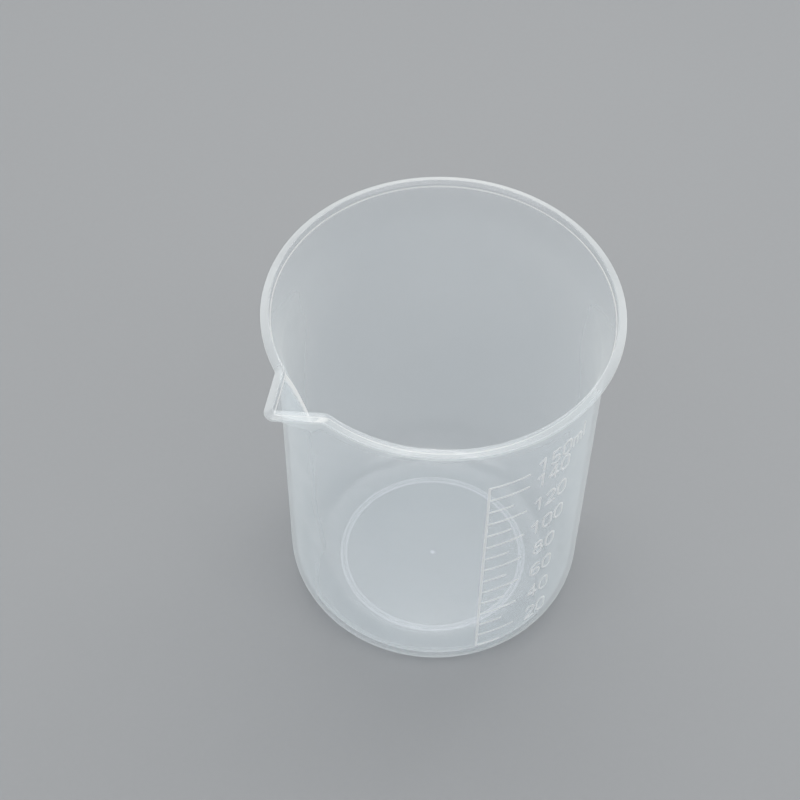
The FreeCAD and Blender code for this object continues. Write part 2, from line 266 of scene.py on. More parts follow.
class Tree:
    """A node tree that is being filled in."""

    def __init__(self, nodes):
        self.nodes = nodes

    def add(self, kind, settings=None, sockets=None):
        """Adds a node, sets its settings and then the values or links of its sockets."""
        node = self.nodes.nodes.new(kind)
        for name, value in (settings or {}).items():
            setattr(node, name, value)
        for name, value in (sockets or {}).items():
            self.feed(node.inputs[name], value)
        return node

    def feed(self, socket, value):
        """Links a node's output to a socket, or sets the socket to a plain value."""
        value = getattr(value, "socket", value)
        if isinstance(value, bpy.types.NodeSocket):
            self.nodes.links.new(value, socket)
        else:
            socket.default_value = value

    def value(self, node, output=0):
        """A node's output as a number for expressions."""
        return Value(self, node.outputs[output])


class Value:
    """A number in a node tree. An expression on values adds its Math nodes."""

    def __init__(self, tree, socket):
        self.tree = tree
        self.socket = socket

    def worked(self, operation, *numbers):
        """The numbers put through one Math node."""
        node = self.tree.add("ShaderNodeMath", {"operation": operation}, dict(enumerate(numbers)))
        return self.tree.value(node)

    def maths(self, operation, *others):
        """This number and the others put through one Math node."""
        return self.worked(operation, self, *others)

    def __add__(self, other):
        return self.maths("ADD", other)

    def __sub__(self, other):
        return self.maths("SUBTRACT", other)

    def __mul__(self, other):
        return self.maths("MULTIPLY", other)

    def __truediv__(self, other):
        return self.maths("DIVIDE", other)

    def __pow__(self, other):
        return self.maths("POWER", other)

    def __rsub__(self, other):
        return self.worked("SUBTRACT", other, self)

    def __rtruediv__(self, other):
        return self.worked("DIVIDE", other, self)

    __radd__ = __add__
    __rmul__ = __mul__

    def clamped(self):
        """This number held between 0 and 1."""
        return self.maths("MAXIMUM", 0.0).maths("MINIMUM", 1.0)

    def step(self, low, high):
        """0 below low, 1 above high, and a smooth rise between."""
        node = self.tree.add("ShaderNodeMapRange", {"interpolation_type": "SMOOTHSTEP"}, {
            "Value": self, "From Min": low, "From Max": high})
        return self.tree.value(node, "Result")


def geometry_tree(name, *inputs):
    """A new tree of geometry nodes with its sockets: the tree, its input node and its numbers in order."""
    nodes = bpy.data.node_groups.new(name, "GeometryNodeTree")
    sockets = [("Geometry", "OUTPUT", "Geometry"), ("Geometry", "INPUT", "Geometry")]
    sockets += [(item, "INPUT", "Int" if item == "Count" else "Float") for item in inputs]
    sockets.append(("Material", "INPUT", "Material"))
    for item, way, kind in sockets:
        nodes.interface.new_socket(item, in_out=way, socket_type="NodeSocket" + kind)
    tree = Tree(nodes)
    given = tree.add("NodeGroupInput")
    return tree, given, [tree.value(given, item) for item in inputs]


def coordinates(tree):
    """X, Y and Z of each point."""
    position = tree.add("GeometryNodeInputPosition").outputs[0]
    split = tree.add("ShaderNodeSeparateXYZ", None, {0: position})
    return (tree.value(split, i) for i in range(3))


def ended(tree, given, geometry):
    """The node tree, ended with its real geometry and its material."""
    real = tree.add("GeometryNodeRealizeInstances", None, {"Geometry": geometry})
    painted = tree.add("GeometryNodeSetMaterial", None, {
        "Geometry": real.outputs[0], "Material": given.outputs["Material"]})
    tree.add("NodeGroupOutput", None, {"Geometry": painted.outputs[0]})
    return tree.nodes


def named_tree(name, make):
    """The node tree of that name, made the first time that it is asked for."""
    return bpy.data.node_groups.get(name) or make(name)


def shaped(name, mesh, *steps):
    """The plain mesh that a mesh becomes under its modifiers, each a node tree with its inputs or a call."""
    rough = bpy.data.objects.new(name + "_rough", mesh)
    bpy.context.scene.collection.objects.link(rough)
    for step in steps:
        if callable(step):
            step(rough)
            continue
        nodes, inputs = step
        modifier = rough.modifiers.new(nodes.name, "NODES")
        modifier.node_group = nodes
        for item in nodes.interface.items_tree:
            if item.name in inputs:
                modifier[item.identifier] = inputs[item.name]
    graph = bpy.context.evaluated_depsgraph_get()
    result = bpy.data.meshes.new_from_object(rough.evaluated_get(graph))
    result.name = name
    bpy.data.objects.remove(rough)
    return result


# ---- finishes ----

def material_tree(name):
    """A new material and its empty node tree."""
    material = bpy.data.materials.new(name)
    material.use_nodes = True
    material.node_tree.nodes.clear()
    return material, Tree(material.node_tree)


def noise(tree, place, scale, detail):
    """A soft random pattern from 0 to 1."""
    node = tree.add("ShaderNodeTexNoise", None, {"Vector": place, "Scale": scale, "Detail": detail})
    return tree.value(node, "Fac")


def blended(tree, factor, first, second):
    """One colour blended into another. Inputs 6 and 7 are the node's colours, and output 2 is their blend."""
    node = tree.add("ShaderNodeMix", {"data_type": "RGBA"}, {"Factor": factor, 6: first, 7: second})
    return node.outputs[2]


def mixed(tree, factor, first, second):
    """One shader mixed into another."""
    return tree.add("ShaderNodeMixShader", None, {"Fac": factor, 1: first, 2: second}).outputs[0]


def opaque(colour):
    """A colour with nothing seen through it, as a shader's sockets take it."""
    return (*colour, 1.0)


def glowing(tree, colour):
    """Plastic that lets scattered light on through."""
    return tree.add("ShaderNodeBsdfTranslucent", None, {"Color": opaque(colour)}).outputs[0]


# Cells in each metre of the plastic's broad clouds, the marks of its flow and its skin's fine peel
CLOUD_SCALE = 38.0
FLOW_SCALE = 140.0
PEEL_SCALE = 260.0

# How the pale colour grows with the hidden share of what is behind, the clouds and the flow
PALE_WITH_DEPTH = 1.3
PALE_CLOUDS = 0.25
PALE_FLOW = 0.1
PALE_START = 0.15

# How the skin's roughness grows with the flow and the peel, and how deep the peel is
ROUGH_FLOW = 0.08
ROUGH_PEEL = 0.05
ROUGH_START = 0.06
PEEL_STRENGTH = 0.05
PEEL_HEIGHT = 0.05 * MM

# Roughness of the milky body, and how much more of the gloss there is where the skin turns away
BODY_ROUGHNESS = 0.6
EDGE_SHEEN = 0.5


def moulded_plastic(name, finish, skin, shine, depth=None):
    """Milky plastic: each face hides what is behind it by the depth of plastic that it stands for.

    The depth is in millimetres, and is read from the mesh where none is given.
    """
    material, tree = material_tree(name)
    place = tree.add("ShaderNodeTexCoord").outputs["Object"]
    facing = tree.value(tree.add("ShaderNodeLayerWeight", None, {"Blend": 0.5}), "Facing")
    clouds = noise(tree, place, CLOUD_SCALE, 3.0)
    flow = noise(tree, place, FLOW_SCALE, 4.0)
    peel = noise(tree, place, PEEL_SCALE, 1.0)
    if depth is None:
        depth = tree.value(tree.add("ShaderNodeAttribute", {"attribute_name": "depth"}), "Fac")

    cosine = 1.0 - facing
    slant = (1.0 - (1.0 - cosine * cosine) / SLANT_INDEX ** 2) ** 0.5
    cloudy = 1.0 - finish.clouding / 2 + finish.clouding * clouds
    marked = 1.0 - finish.flow_marks / 2 + finish.flow_marks * flow
    milk = depth * finish.milkiness * cloudy * marked / slant
    opacity = 1.0 - (milk * -1.0).maths("EXPONENT")
    paler = (PALE_WITH_DEPTH * opacity + PALE_CLOUDS * clouds + PALE_FLOW * flow - PALE_START).clamped()
    rough = finish.roughness + ROUGH_FLOW * flow + ROUGH_PEEL * peel - ROUGH_START
    sheen = shine + EDGE_SHEEN * shine * facing ** 5.0

    bump = tree.add("ShaderNodeBump", None, {
        "Strength": PEEL_STRENGTH, "Distance": PEEL_HEIGHT, "Height": peel}).outputs[0]
    body = tree.add("ShaderNodeBsdfPrincipled", None, {
        "Base Color": blended(tree, paler, opaque(skin), opaque(finish.pale)),
        "Roughness": BODY_ROUGHNESS, "Specular IOR Level": 0.0, "Normal": bump})
    glow = mixed(tree, paler, glowing(tree, skin), glowing(tree, finish.pale))
    milky = mixed(tree, finish.translucent, body.outputs[0], glow)
    clear = tree.add("ShaderNodeBsdfTransparent", None, {"Color": opaque(finish.clear)})
    wall = mixed(tree, opacity, clear.outputs[0], milky)
    gloss = tree.add("ShaderNodeBsdfAnisotropic", None, {"Roughness": rough, "Normal": bump})
    tree.add("ShaderNodeOutputMaterial", None, {"Surface": mixed(tree, sheen, wall, gloss.outputs[0])})
    return material


# Cells in each metre of the floor's grain and patches, and how dark they go
GRAIN_SCALE = 900.0
PATCH_SCALE = 9.0
GRAIN_SHADE = 0.94


def matte_sheet(name, colour):
    """The floor: a plain matt sheet with a faint grain."""
    material, tree = material_tree(name)
    place = tree.add("ShaderNodeTexCoord").outputs["Object"]
    grain = noise(tree, place, GRAIN_SCALE, 3.0)
    patches = noise(tree, place, PATCH_SCALE, 3.0)
    darker = tuple(GRAIN_SHADE * c for c in colour)
    shade = blended(tree, (0.5 * grain + 0.5 * patches).clamped(), opaque(darker), opaque(colour))
    body = tree.add("ShaderNodeBsdfPrincipled", None, {
        "Base Color": shade, "Roughness": 0.75, "Specular IOR Level": 0.2})
    tree.add("ShaderNodeOutputMaterial", None, {"Surface": body.outputs[0]})
    return material


def finish_named(name):
    """The material of that name, made the first time that it is asked for."""
    if name in bpy.data.materials:
        return bpy.data.materials[name]
    finish = bpy.context.scene.beaker_finish
    skin, shine, depth = {
        "milky_plastic": (finish.skin, SKIN_GLOSS, None),
        "foot_plastic": (finish.skin, BURIED_GLOSS, None),
        "raised_scale": (finish.scale, SCALE_GLOSS, SCALE_DEPTH),
    }[name]
    return moulded_plastic(name, finish, skin, shine, depth)


# ---- meshes ----

# One ring of points round Z: its radius and height, the depth of plastic that its faces stand for (with some
# painted light added as depth), how far the spout's tip reaches there, the tip's radius, and the painted
# highlight along the fold, as extra depth
Row = namedtuple("Row", "radius height depth reach tip fold", defaults=(0.0, 0.0, 0.0))


def turned(name, section, azimuths, ring=False):
    """A section of rows turned about Z. A row on the axis is one point."""
    mesh = bpy.data.meshes.new(name)
    points, rows, sources = [], [], []
    for row in section:
        turns = azimuths if row.radius > 0.0 else azimuths[:1]
        rows.append([len(points) + i for i in range(len(turns))])
        for turn in turns:
            points.append((row.radius * math.sin(turn), -row.radius * math.cos(turn), row.height))
            sources.append(row)
    faces = []
    pairs = list(zip(rows, rows[1:])) + ([(rows[-1], rows[0])] if ring else [])
    for low, high in pairs:
        for i in range(len(azimuths)):
            j = (i + 1) % len(azimuths)
            corners = [low[i % len(low)], low[j % len(low)], high[j % len(high)], high[i % len(high)]]
            faces.append(list(dict.fromkeys(corners)))
    mesh.from_pydata(points, [], faces)
    for attribute in ("depth", "reach", "tip", "fold"):
        layer = mesh.attributes.new(attribute, "FLOAT", "POINT")
        layer.data.foreach_set("value", [getattr(row, attribute) for row in sources])
    return mesh


def outward(mesh):
    """Turns a closed mesh's faces outwards and shades it smoothly."""
    work = bmesh.new()
    work.from_mesh(mesh)
    bmesh.ops.recalc_face_normals(work, faces=work.faces)
    work.to_mesh(mesh)
    work.free()
    mesh.shade_smooth()
    return mesh


def placed(name, mesh, slot, *nodes):
    """Puts a finished piece in the scene, riding on the body in place of its CAD nodes."""
    piece = bpy.data.objects.new(name, outward(mesh))
    bpy.context.scene.collection.objects.link(piece)
    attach(piece, BODY)
    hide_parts(*nodes)


def arc_points(centre, radius, first, last, steps):
    """Points along an arc in the section's plane, from the first angle to the last."""
    turns = [first + (last - first) * i / steps for i in range(steps + 1)]
    return [(centre[0] + radius * math.cos(t), centre[1] + radius * math.sin(t)) for t in turns]


def rounded(points, radius):
    """An open outline with the corners between its ends rounded off."""
    outline = [points[0]]
    for before, corner, after in zip(points, points[1:], points[2:]):
        corner = Vector(corner)
        back = Vector(before) - corner
        ahead = Vector(after) - corner
        half = back.angle(ahead) / 2
        reach = min(radius / math.tan(half), 0.45 * back.length, 0.45 * ahead.length)
        start = corner + back.normalized() * reach
        end = corner + ahead.normalized() * reach
        for i in range(ROUND_STEPS + 1):
            t = i / ROUND_STEPS
            outline.append(tuple((1 - t) ** 2 * start + 2 * t * (1 - t) * corner + t ** 2 * end))
    return outline + [points[-1]]


def spread(first, last, most):
    """Evenly spaced values from the first to the last, no further apart than most."""
    count = max(1, math.ceil(abs(last - first) / most))
    return [first + (last - first) * i / count for i in range(count + 1)]


# ---- shell ----

def face_radius(z, sizes, inside):
    """Radius of the wall's or collar's outer or inner face at a height."""
    cone = outer_radius(z) - (sizes.wall / math.cos(DRAFT) if inside else 0.0)
    start = sizes.flare_start
    centre_r = outer_radius(start) - sizes.wall / math.cos(DRAFT) + sizes.flare_radius * math.cos(DRAFT)
    centre_z = start - sizes.flare_radius * math.sin(DRAFT)
    radius = sizes.flare_radius - (0.0 if inside else sizes.wall)
    if z <= centre_z + radius * math.sin(DRAFT):
        return cone
    return centre_r - math.sqrt(radius ** 2 - (z - centre_z) ** 2)


def tip_radius(inset, sizes):
    """Radius of the spout's tip on an outline set in from the outer edge."""
    return max(sizes.spout_tip - inset, sizes.inner_tip)


def tip_reach(inset, sizes):
    """How far the spout's tip reaches on an outline set in from the outer edge."""
    slope = 1 / math.sin(sizes.spout_half_angle)
    apex = SPOUT_REACH + sizes.spout_tip * (slope - 1) - inset * slope
    return apex - tip_radius(inset, sizes) * (slope - 1)


def spout_reach(z, sizes, inside):
    """How far the spout's keel or channel reaches at a height below the rim."""
    foot = KEEL_FOOT + (sizes.channel_step if inside else 0.0)
    foot_radius = face_radius(foot, sizes, inside)
    top = tip_reach(rim_inset(sizes, inside), sizes)
    return foot_radius + (top - foot_radius) * (z - foot) / (RIM_FOOT - foot)


def rim_inset(sizes, inside):
    """How far in from the rim's edge the collar's outer or inner face meets the rim."""
    return RIM_RADIUS - face_radius(RIM_FOOT, sizes, inside)


def wall_rows(sizes, inside):
    """Rows up one face of the wall and collar, from the base's corner to the rim."""
    below_keel = 4 * MM
    fine = KEEL_FOOT - below_keel
    heights = spread(BASE_TOP, fine, WALL_STEP)[:-1] + spread(fine, RIM_FOOT, FLARE_STEP)
    tip = tip_radius(rim_inset(sizes, inside), sizes)
    # Only the inner face carries the fold's painted highlight
    fold = sizes.fold_depth if inside else 0.0
    rows = []
    for z in heights:
        reach = spout_reach(z, sizes, inside) if z > fine else 0.0
        rows.append(Row(face_radius(z, sizes, inside), z, WALL_DEPTH, max(reach, 0.0), tip, fold))
    return rows


def base_rows(foot, edge):
    """Rows out along the base's underside, deeper over the gate mark and the foot ring's two edges, which is
    partly real plastic and partly painted light.
    """
    z = UNDERSIDE
    hole = RING_RADIUS - foot.ring_width
    within, beyond, outer_step = 2.0 * MM, 0.5 * MM, 2.0 * MM
    # The gate mark's pale nub: partly the mark's plastic, partly painted light
    rows = [Row(0.0, z, NUB_DEPTH_AND_LIGHT), Row(foot.nub, z, NUB_DEPTH_AND_LIGHT), Row(foot.nub + SOFT_EDGE, z, BASE_DEPTH)]
    rows += [Row(r, z, BASE_DEPTH) for r in spread(FLAT_STEP, hole - within, FLAT_STEP)]
    # Pale bands along the ring's two edges: partly the ring's plastic, partly painted light
    for start, end in ((hole, hole + foot.edge_band), (RING_RADIUS - foot.edge_band, RING_RADIUS)):
        rows += [Row(start - SOFT_EDGE, z, BASE_DEPTH), Row(start, z, RING_EDGE_DEPTH_AND_LIGHT)]
        rows += [Row(end, z, RING_EDGE_DEPTH_AND_LIGHT), Row(end + SOFT_EDGE, z, BASE_DEPTH)]
    return rows + [Row(r, z, BASE_DEPTH) for r in spread(RING_RADIUS + beyond, edge, outer_step)[:-1]]


def corner_rows(sizes, foot, inside):
    """Rows from the axis out along one face of the base and round its corner."""
    floor = UNDERSIDE + (sizes.base if inside else 0.0)
    radius = sizes.inner_corner if inside else sizes.outer_corner
    centre_z = floor + radius
    centre_r = face_radius(centre_z, sizes, inside) - radius / math.cos(DRAFT)
    flat = [Row(r, floor, BASE_DEPTH) for r in spread(0.0, centre_r, FLAT_STEP)[:-1]]
    if not inside:
        flat = base_rows(foot, centre_r)
    curve = arc_points((centre_r, centre_z), radius, -math.pi / 2, -DRAFT, CORNER_STEPS)
    rows = []
    for i, (r, z) in enumerate(curve):
        depth = BASE_DEPTH + (WALL_DEPTH - BASE_DEPTH) * i / CORNER_STEPS
        rows.append(Row(r, z, depth))
    return flat + [row for row in rows if row.height < BASE_TOP - LEAST_STEP]


def rim_rows(sizes):
    """Rows over the rim, from the collar's outer face to its inner face, with a painted highlight along the
    step's edge as extra depth.
    """
    crest_end = RIM_RADIUS - sizes.crest_offset - sizes.crest_width
    outline = rounded([
        (face_radius(RIM_FOOT, sizes, False), RIM_FOOT),
        (RIM_RADIUS, sizes.rim_edge_low),
        (RIM_RADIUS, sizes.rim_edge_high),
        (RIM_RADIUS - sizes.crest_offset, HEIGHT),
        (crest_end, HEIGHT),
        (RIM_RADIUS - sizes.rim_width, sizes.rim_inner_edge),
        (face_radius(RIM_FOOT, sizes, True), RIM_FOOT),
    ], sizes.edge_round)
    rows = []
    for r, z in refined(outline, RIM_STEP)[1:-1]:
        inset = RIM_RADIUS - r
        from_edge = math.hypot(inset - sizes.rim_width, z - sizes.rim_inner_edge)
        # Painted highlight: the depth rises steeply near the step's edge, drawing a pale line there
        depth = STEP_DEPTH + STEP_EDGE_HIGHLIGHT * max(0.0, 1.0 - from_edge / STEP_EDGE_HIGHLIGHT_REACH)
        if r > crest_end and z > sizes.rim_edge_low - SOFT_EDGE:
            depth = RIM_DEPTH
        rows.append(Row(r, z, depth, tip_reach(inset, sizes), tip_radius(inset, sizes)))
    return rows


def refined(outline, most):
    """An outline with points added so that none are further apart than most."""
    points = [outline[0]]
    for (r0, z0), (r1, z1) in zip(outline, outline[1:]):
        count = max(1, math.ceil(math.hypot(r1 - r0, z1 - z0) / most))
        for i in range(1, count + 1):
            points.append((r0 + (r1 - r0) * i / count, z0 + (z1 - z0) * i / count))
    return points


def shell_azimuths():
    """Azimuths round the shell, close together across the spout, which points along -X."""
    first = -math.pi / 2 - SPOUT_SWEEP
    last = -math.pi / 2 + SPOUT_SWEEP
    near = spread(first, last, SPOUT_TURN)
    far = spread(last, first + 2 * math.pi, PLAIN_TURN)
    return near + far[1:-1]


def carried(tree, value):
    """A value that the mesh carries at each of its points."""
    node = tree.add("GeometryNodeInputNamedAttribute", {"data_type": "FLOAT"}, {"Name": value})
    return tree.value(node, "Attribute")


def spout_tree(name):
    """Pulls the turned shell out into the folded spout, by the rule of a V with a rounded tip, and adds a
    painted highlight along the fold as extra depth.
    """
    tree, given, (half, blend, fold_width) = geometry_tree(name, "Half angle", "Blend", "Fold width")
    x, y, z = coordinates(tree)
    reach, tip, depth, fold_depth = (carried(tree, value) for value in ("reach", "tip", "depth", "fold"))

    # The V's outline as a radius at each turn from the spout's direction: the tip's arc, then the side
    spout_side, least_sine = math.radians(60), 0.05
    radius = (x * x + y * y) ** 0.5
    turn = y.maths("ABSOLUTE").maths("ARCTAN2", x * -1.0)
    centre = reach - tip
    apex = centre + tip / half.maths("SINE")
    side = apex * half.maths("SINE") / (turn + half).maths("SINE").maths("MAXIMUM", least_sine)
    across = centre * turn.maths("SINE")
    round_tip = centre * turn.maths("COSINE") + (tip * tip - across * across).maths("MAXIMUM", 0.0) ** 0.5
    tangent = (tip * half.maths("COSINE")).maths("ARCTAN2", centre + tip * half.maths("SINE"))
    on_tip = turn.maths("LESS_THAN", tangent)
    outline = on_tip * round_tip + (1.0 - on_tip) * side

    # A point within the outline moves out to it, with a soft fold where the V leaves the wall
    beyond = outline * turn.maths("LESS_THAN", spout_side) - radius
    pull = (0.5 + 0.5 * beyond / blend).clamped()
    wide = radius + beyond * pull + blend * pull * (1.0 - pull)
    grow = wide / radius.maths("MAXIMUM", 0.001 * MM)
    moved = tree.add("ShaderNodeCombineXYZ", None, {0: x * grow, 1: y * grow, 2: z})

    # Painted highlight: a pale band of extra depth along the fold where the V leaves the wall, standing in
    # for light caught there
    fold_highlight_band = beyond.step(-FOLD_HIGHLIGHT_SOFTNESS, 0.0) * (1.0 - beyond.step(fold_width, fold_width + FOLD_HIGHLIGHT_SOFTNESS))
    deeper = tree.add("GeometryNodeStoreNamedAttribute", {"data_type": "FLOAT", "domain": "POINT"}, {
        "Geometry": given.outputs["Geometry"], "Name": "depth", "Value": depth + fold_depth * fold_highlight_band})
    place = tree.add("GeometryNodeSetPosition", None, {
        "Geometry": deeper.outputs[0], "Position": moved.outputs[0]})
    return ended(tree, given, place.outputs[0])


class BEAKER_OT_shell(bpy.types.Operator):
    """Build the beaker's shell: base, wall, collar, rim and spout in one moulding"""
    bl_idname = "beaker.shell"
    bl_label = "Shell"

    def execute(self, context):
        sizes = context.scene.beaker_shell
        foot = context.scene.beaker_foot
        outside = corner_rows(sizes, foot, False) + wall_rows(sizes, False)
        inside = corner_rows(sizes, foot, True) + wall_rows(sizes, True)
        section = outside + rim_rows(sizes) + inside[::-1]
        mesh = turned("beaker_shell", section, shell_azimuths())
        inputs = {
            "Half angle": sizes.spout_half_angle, "Blend": sizes.spout_blend, "Fold width": sizes.fold_width,
            "Material": finish_named("milky_plastic"),
        }
        mesh = shaped("beaker_shell", mesh, (named_tree("Folded spout", spout_tree), inputs))
        placed("beaker_shell", mesh, "body", "base", "wall", "collar", "rim", "spout", "spout_lip")
        return {"FINISHED"}


# ---- foot ring and gate mark ----

def even_azimuths(count):
    """Azimuths that are evenly spaced all the way round."""
    return [2 * math.pi * i / count for i in range(count)]


def ring_mesh(sizes):
    """The foot ring, run up a little way into the base."""
    inner, top = RING_RADIUS - sizes.ring_width, RING_HEIGHT + sizes.sink
    middle = (inner + RING_RADIUS) / 2
    outline = rounded([
        (middle, top), (RING_RADIUS, top), (RING_RADIUS, 0.0), (inner, 0.0), (inner, top), (middle, top),
    ], sizes.edge_round)
    section = [Row(r, z, FOOT_DEPTH) for r, z in outline[:-1]]
    return turned("foot_ring_moulding", section, even_azimuths(RING_SIDES), ring=True)


def gate_mesh(sizes):
    """The gate mark: a low round stud, domed below and run up a little way into the base."""
    dome = arc_points((0.0, 0.0), 1.0, 0.0, -math.pi / 2, DOME_STEPS)[:-1] + [(0.0, -1.0)]
    drop, top = UNDERSIDE - GATE_BOTTOM, UNDERSIDE + sizes.sink
    section = [Row(0.0, top, FOOT_DEPTH), Row(GATE_RADIUS, top, FOOT_DEPTH)]
    section += [Row(GATE_RADIUS * x, UNDERSIDE + drop * y, FOOT_DEPTH) for x, y in dome]
    return turned("gate_stud", section, even_azimuths(GATE_SIDES))


class BEAKER_OT_foot(bpy.types.Operator):
    """Build the foot ring and the gate mark under the base"""
    bl_idname = "beaker.foot"
    bl_label = "Foot ring and gate mark"

    def execute(self, context):
        sizes = context.scene.beaker_foot
        ring = ring_mesh(sizes)
        ring.materials.append(finish_named("foot_plastic"))
        placed("foot_ring_moulding", ring, "body", "foot_ring")
        gate = gate_mesh(sizes)
        gate.materials.append(finish_named("foot_plastic"))
        placed("gate_stud", gate, "body", "gate_mark")
        return {"FINISHED"}


# ---- scale ----

def wrap_tree(name):
    """Wraps what lies flat in the XY plane round the tapered wall."""
    tree, given, (flat_round, foot_round, foot_height, draft) = geometry_tree(
        name, "Flat radius", "Foot radius", "Foot height", "Draft")
    along, up, out = coordinates(tree)
    turn = along / flat_round
    radius = foot_round + (up - foot_height) * draft.maths("TANGENT") + out
    moved = tree.add("ShaderNodeCombineXYZ", None, {
        0: radius * turn.maths("SINE"), 1: radius * turn.maths("COSINE") * -1.0, 2: up})
    place = tree.add("GeometryNodeSetPosition", None, {
        "Geometry": given.outputs["Geometry"], "Position": moved.outputs[0]})
    return ended(tree, given, place.outputs[0])


def stroke_tree(name):
    """Turns flat paths into raised strokes with rounded shoulders and round ends."""
    tree, given, (width, raised, sunk, shoulder) = geometry_tree(name, "Width", "Raised", "Sunk", "Shoulder")
    path = tree.add("GeometryNodeMeshToCurve", None, {"Mesh": given.outputs["Geometry"]})
    level = tree.add("GeometryNodeSetCurveNormal", {"mode": "Z_UP"}, {"Curve": path.outputs[0]})
    section = tree.add("GeometryNodeCurvePrimitiveQuadrilateral", {"mode": "RECTANGLE"}, {
        "Width": width, "Height": raised + sunk})
    soft = tree.add("GeometryNodeFilletCurve", {"mode": "POLY"}, {
        "Curve": section.outputs[0], "Count": SHOULDER_STEPS, "Radius": width * shoulder})
    strip = tree.add("GeometryNodeCurveToMesh", None, {
        "Curve": level.outputs[0], "Profile Curve": soft.outputs[0], "Fill Caps": True})
    ends = tree.add("GeometryNodeCurveEndpointSelection")
    stud = tree.add("GeometryNodeMeshCylinder", None, {
        "Vertices": STUD_SIDES, "Radius": width * 0.5, "Depth": raised + sunk})
    studs = tree.add("GeometryNodeInstanceOnPoints", None, {
        "Points": level.outputs[0], "Selection": ends.outputs[0], "Instance": stud.outputs[0]})
    both = tree.add("GeometryNodeJoinGeometry")
    tree.feed(both.inputs[0], studs.outputs[0])
    tree.feed(both.inputs[0], strip.outputs[0])
    lift = tree.add("ShaderNodeCombineXYZ", None, {2: (raised - sunk) * 0.5})
    place = tree.add("GeometryNodeSetPosition", None, {
        "Geometry": both.outputs[0], "Offset": lift.outputs[0]})
    return ended(tree, given, place.outputs[0])


def line_tree(name):
    """Lays out the scale's lines in the flat, longer where a numeral stands beside the line."""
    tree, given, (count, first, pitch, start, short, long) = geometry_tree(
        name, "Count", "First height", "Pitch", "Start", "Short", "Long")
    origin = tree.add("ShaderNodeCombineXYZ", None, {0: start, 1: first})
    step = tree.add("ShaderNodeCombineXYZ", None, {1: pitch})
    points = tree.add("GeometryNodeMeshLine", {"mode": "OFFSET"}, {
        "Count": count, "Start Location": origin.outputs[0], "Offset": step.outputs[0]})

    # Counted from 0, every odd line has a numeral, and so has the last
    index = tree.value(tree.add("GeometryNodeInputIndex"))
    odd = index.maths("MODULO", 2.0)
    last = index.maths("GREATER_THAN", count - 1.5)
    reach = short + (long - short) * odd.maths("MAXIMUM", last)
    unit = tree.add("GeometryNodeMeshLine", {"mode": "OFFSET"}, {
        "Count": LINE_STEPS + 1, "Offset": (1 / LINE_STEPS, 0.0, 0.0)})
    size = tree.add("ShaderNodeCombineXYZ", None, {0: reach, 1: 1.0, 2: 1.0})
    lines = tree.add("GeometryNodeInstanceOnPoints", None, {
        "Points": points.outputs[0], "Instance": unit.outputs[0], "Scale": size.outputs[0]})
    return ended(tree, given, lines.outputs[0])


def flat_radius():
    """The radius at which a length in the flat is as long as on the wall: that of the scale's middle."""
    return outer_radius((FIRST_LINE + LAST_LINE) / 2)


def path_mesh(name, paths):
    """Paths in the XY plane as one mesh of edges."""
    points, edges = [], []
    for path in paths:
        edges += [(len(points) + i, len(points) + i + 1) for i in range(len(path) - 1)]
        points += [(x, y, 0.0) for x, y in path]
    mesh = bpy.data.meshes.new(name)
    mesh.from_pydata(points, edges, [])
    return mesh


def stroked(sizes, width):
    """The stroke tree with its inputs."""
    return named_tree("Raised strokes", stroke_tree), {
        "Width": width, "Raised": sizes.raised, "Sunk": sizes.sunk, "Shoulder": sizes.shoulder,
        "Material": finish_named("raised_scale")}


def wrapped():
    """The wrap tree with its inputs."""
    return named_tree("Wrapped on the wall", wrap_tree), {
        "Flat radius": flat_radius(), "Foot radius": FOOT_RADIUS, "Foot height": BASE_TOP, "Draft": DRAFT,
        "Material": finish_named("raised_scale")}


def laid_out(sizes):
    """The line tree with its inputs."""
    end = sizes.line_width / 2
    return named_tree("Scale lines", line_tree), {
        "Count": len(VOLUMES), "First height": FIRST_LINE, "Pitch": LINE_PITCH,
        "Start": sizes.azimuth * flat_radius(), "Short": sizes.short_sweep * flat_radius() - end,
        "Long": sizes.long_sweep * flat_radius() - end, "Material": finish_named("raised_scale")}


def joined_in(cell):
    """Joins overlapping strokes into one skin of cells of that size, and smooths its steps."""
    def add(rough):
        remesh = rough.modifiers.new("One skin", "REMESH")
        remesh.mode = "VOXEL"
        remesh.voxel_size = cell
        smooth = rough.modifiers.new("Smooth", "SMOOTH")
        smooth.factor = 0.5
        smooth.iterations = 3
    return add


class BEAKER_OT_scale_lines(bpy.types.Operator):
    """Build the scale's upright line and its volume lines"""
    bl_idname = "beaker.scale_lines"
    bl_label = "Scale lines"

    def execute(self, context):
        sizes = context.scene.beaker_scale
        lines = shaped(
            "raised_lines", bpy.data.meshes.new("none"), laid_out(sizes),
            stroked(sizes, sizes.line_width), joined_in(sizes.cell), wrapped())
        placed("raised_lines", lines, "scale", *(f"scale_line_{v}" for v in VOLUMES))
        start = sizes.azimuth * flat_radius()
        upright = [(start, z) for z in spread(FIRST_LINE, LAST_LINE, 1 * MM)]
        spine = shaped(
            "raised_spine", path_mesh("spine", [upright]),
            stroked(sizes, sizes.spine_width), joined_in(sizes.cell), wrapped())
        placed("raised_spine", spine, "scale", "scale_spine")
        return {"FINISHED"}


# ---- numerals ----

def bow(x, y, radius, first, last, steps):
    """A curved stroke about (x, y), between two angles in degrees."""
    return arc_points((x, y), radius, math.radians(first), math.radians(last), steps)


def on_bow(x, y, radius, degrees):
    """The point of such a stroke at one angle."""
    turn = math.radians(degrees)
    return x + radius * math.cos(turn), y + radius * math.sin(turn)


def loop(y, radius, steps):
    """A whole round stroke about (0, y), as an upper and a lower bow."""
    return [bow(0, y, radius, 0, 180, steps), bow(0, y, radius, 180, 360, steps)]


def bar(x0, y0, x1, y1):
    """A straight stroke in short steps, so that it can follow the wall."""
    return [(x0 + (x1 - x0) * i / BAR_STEPS, y0 + (y1 - y0) * i / BAR_STEPS) for i in range(BAR_STEPS + 1)]


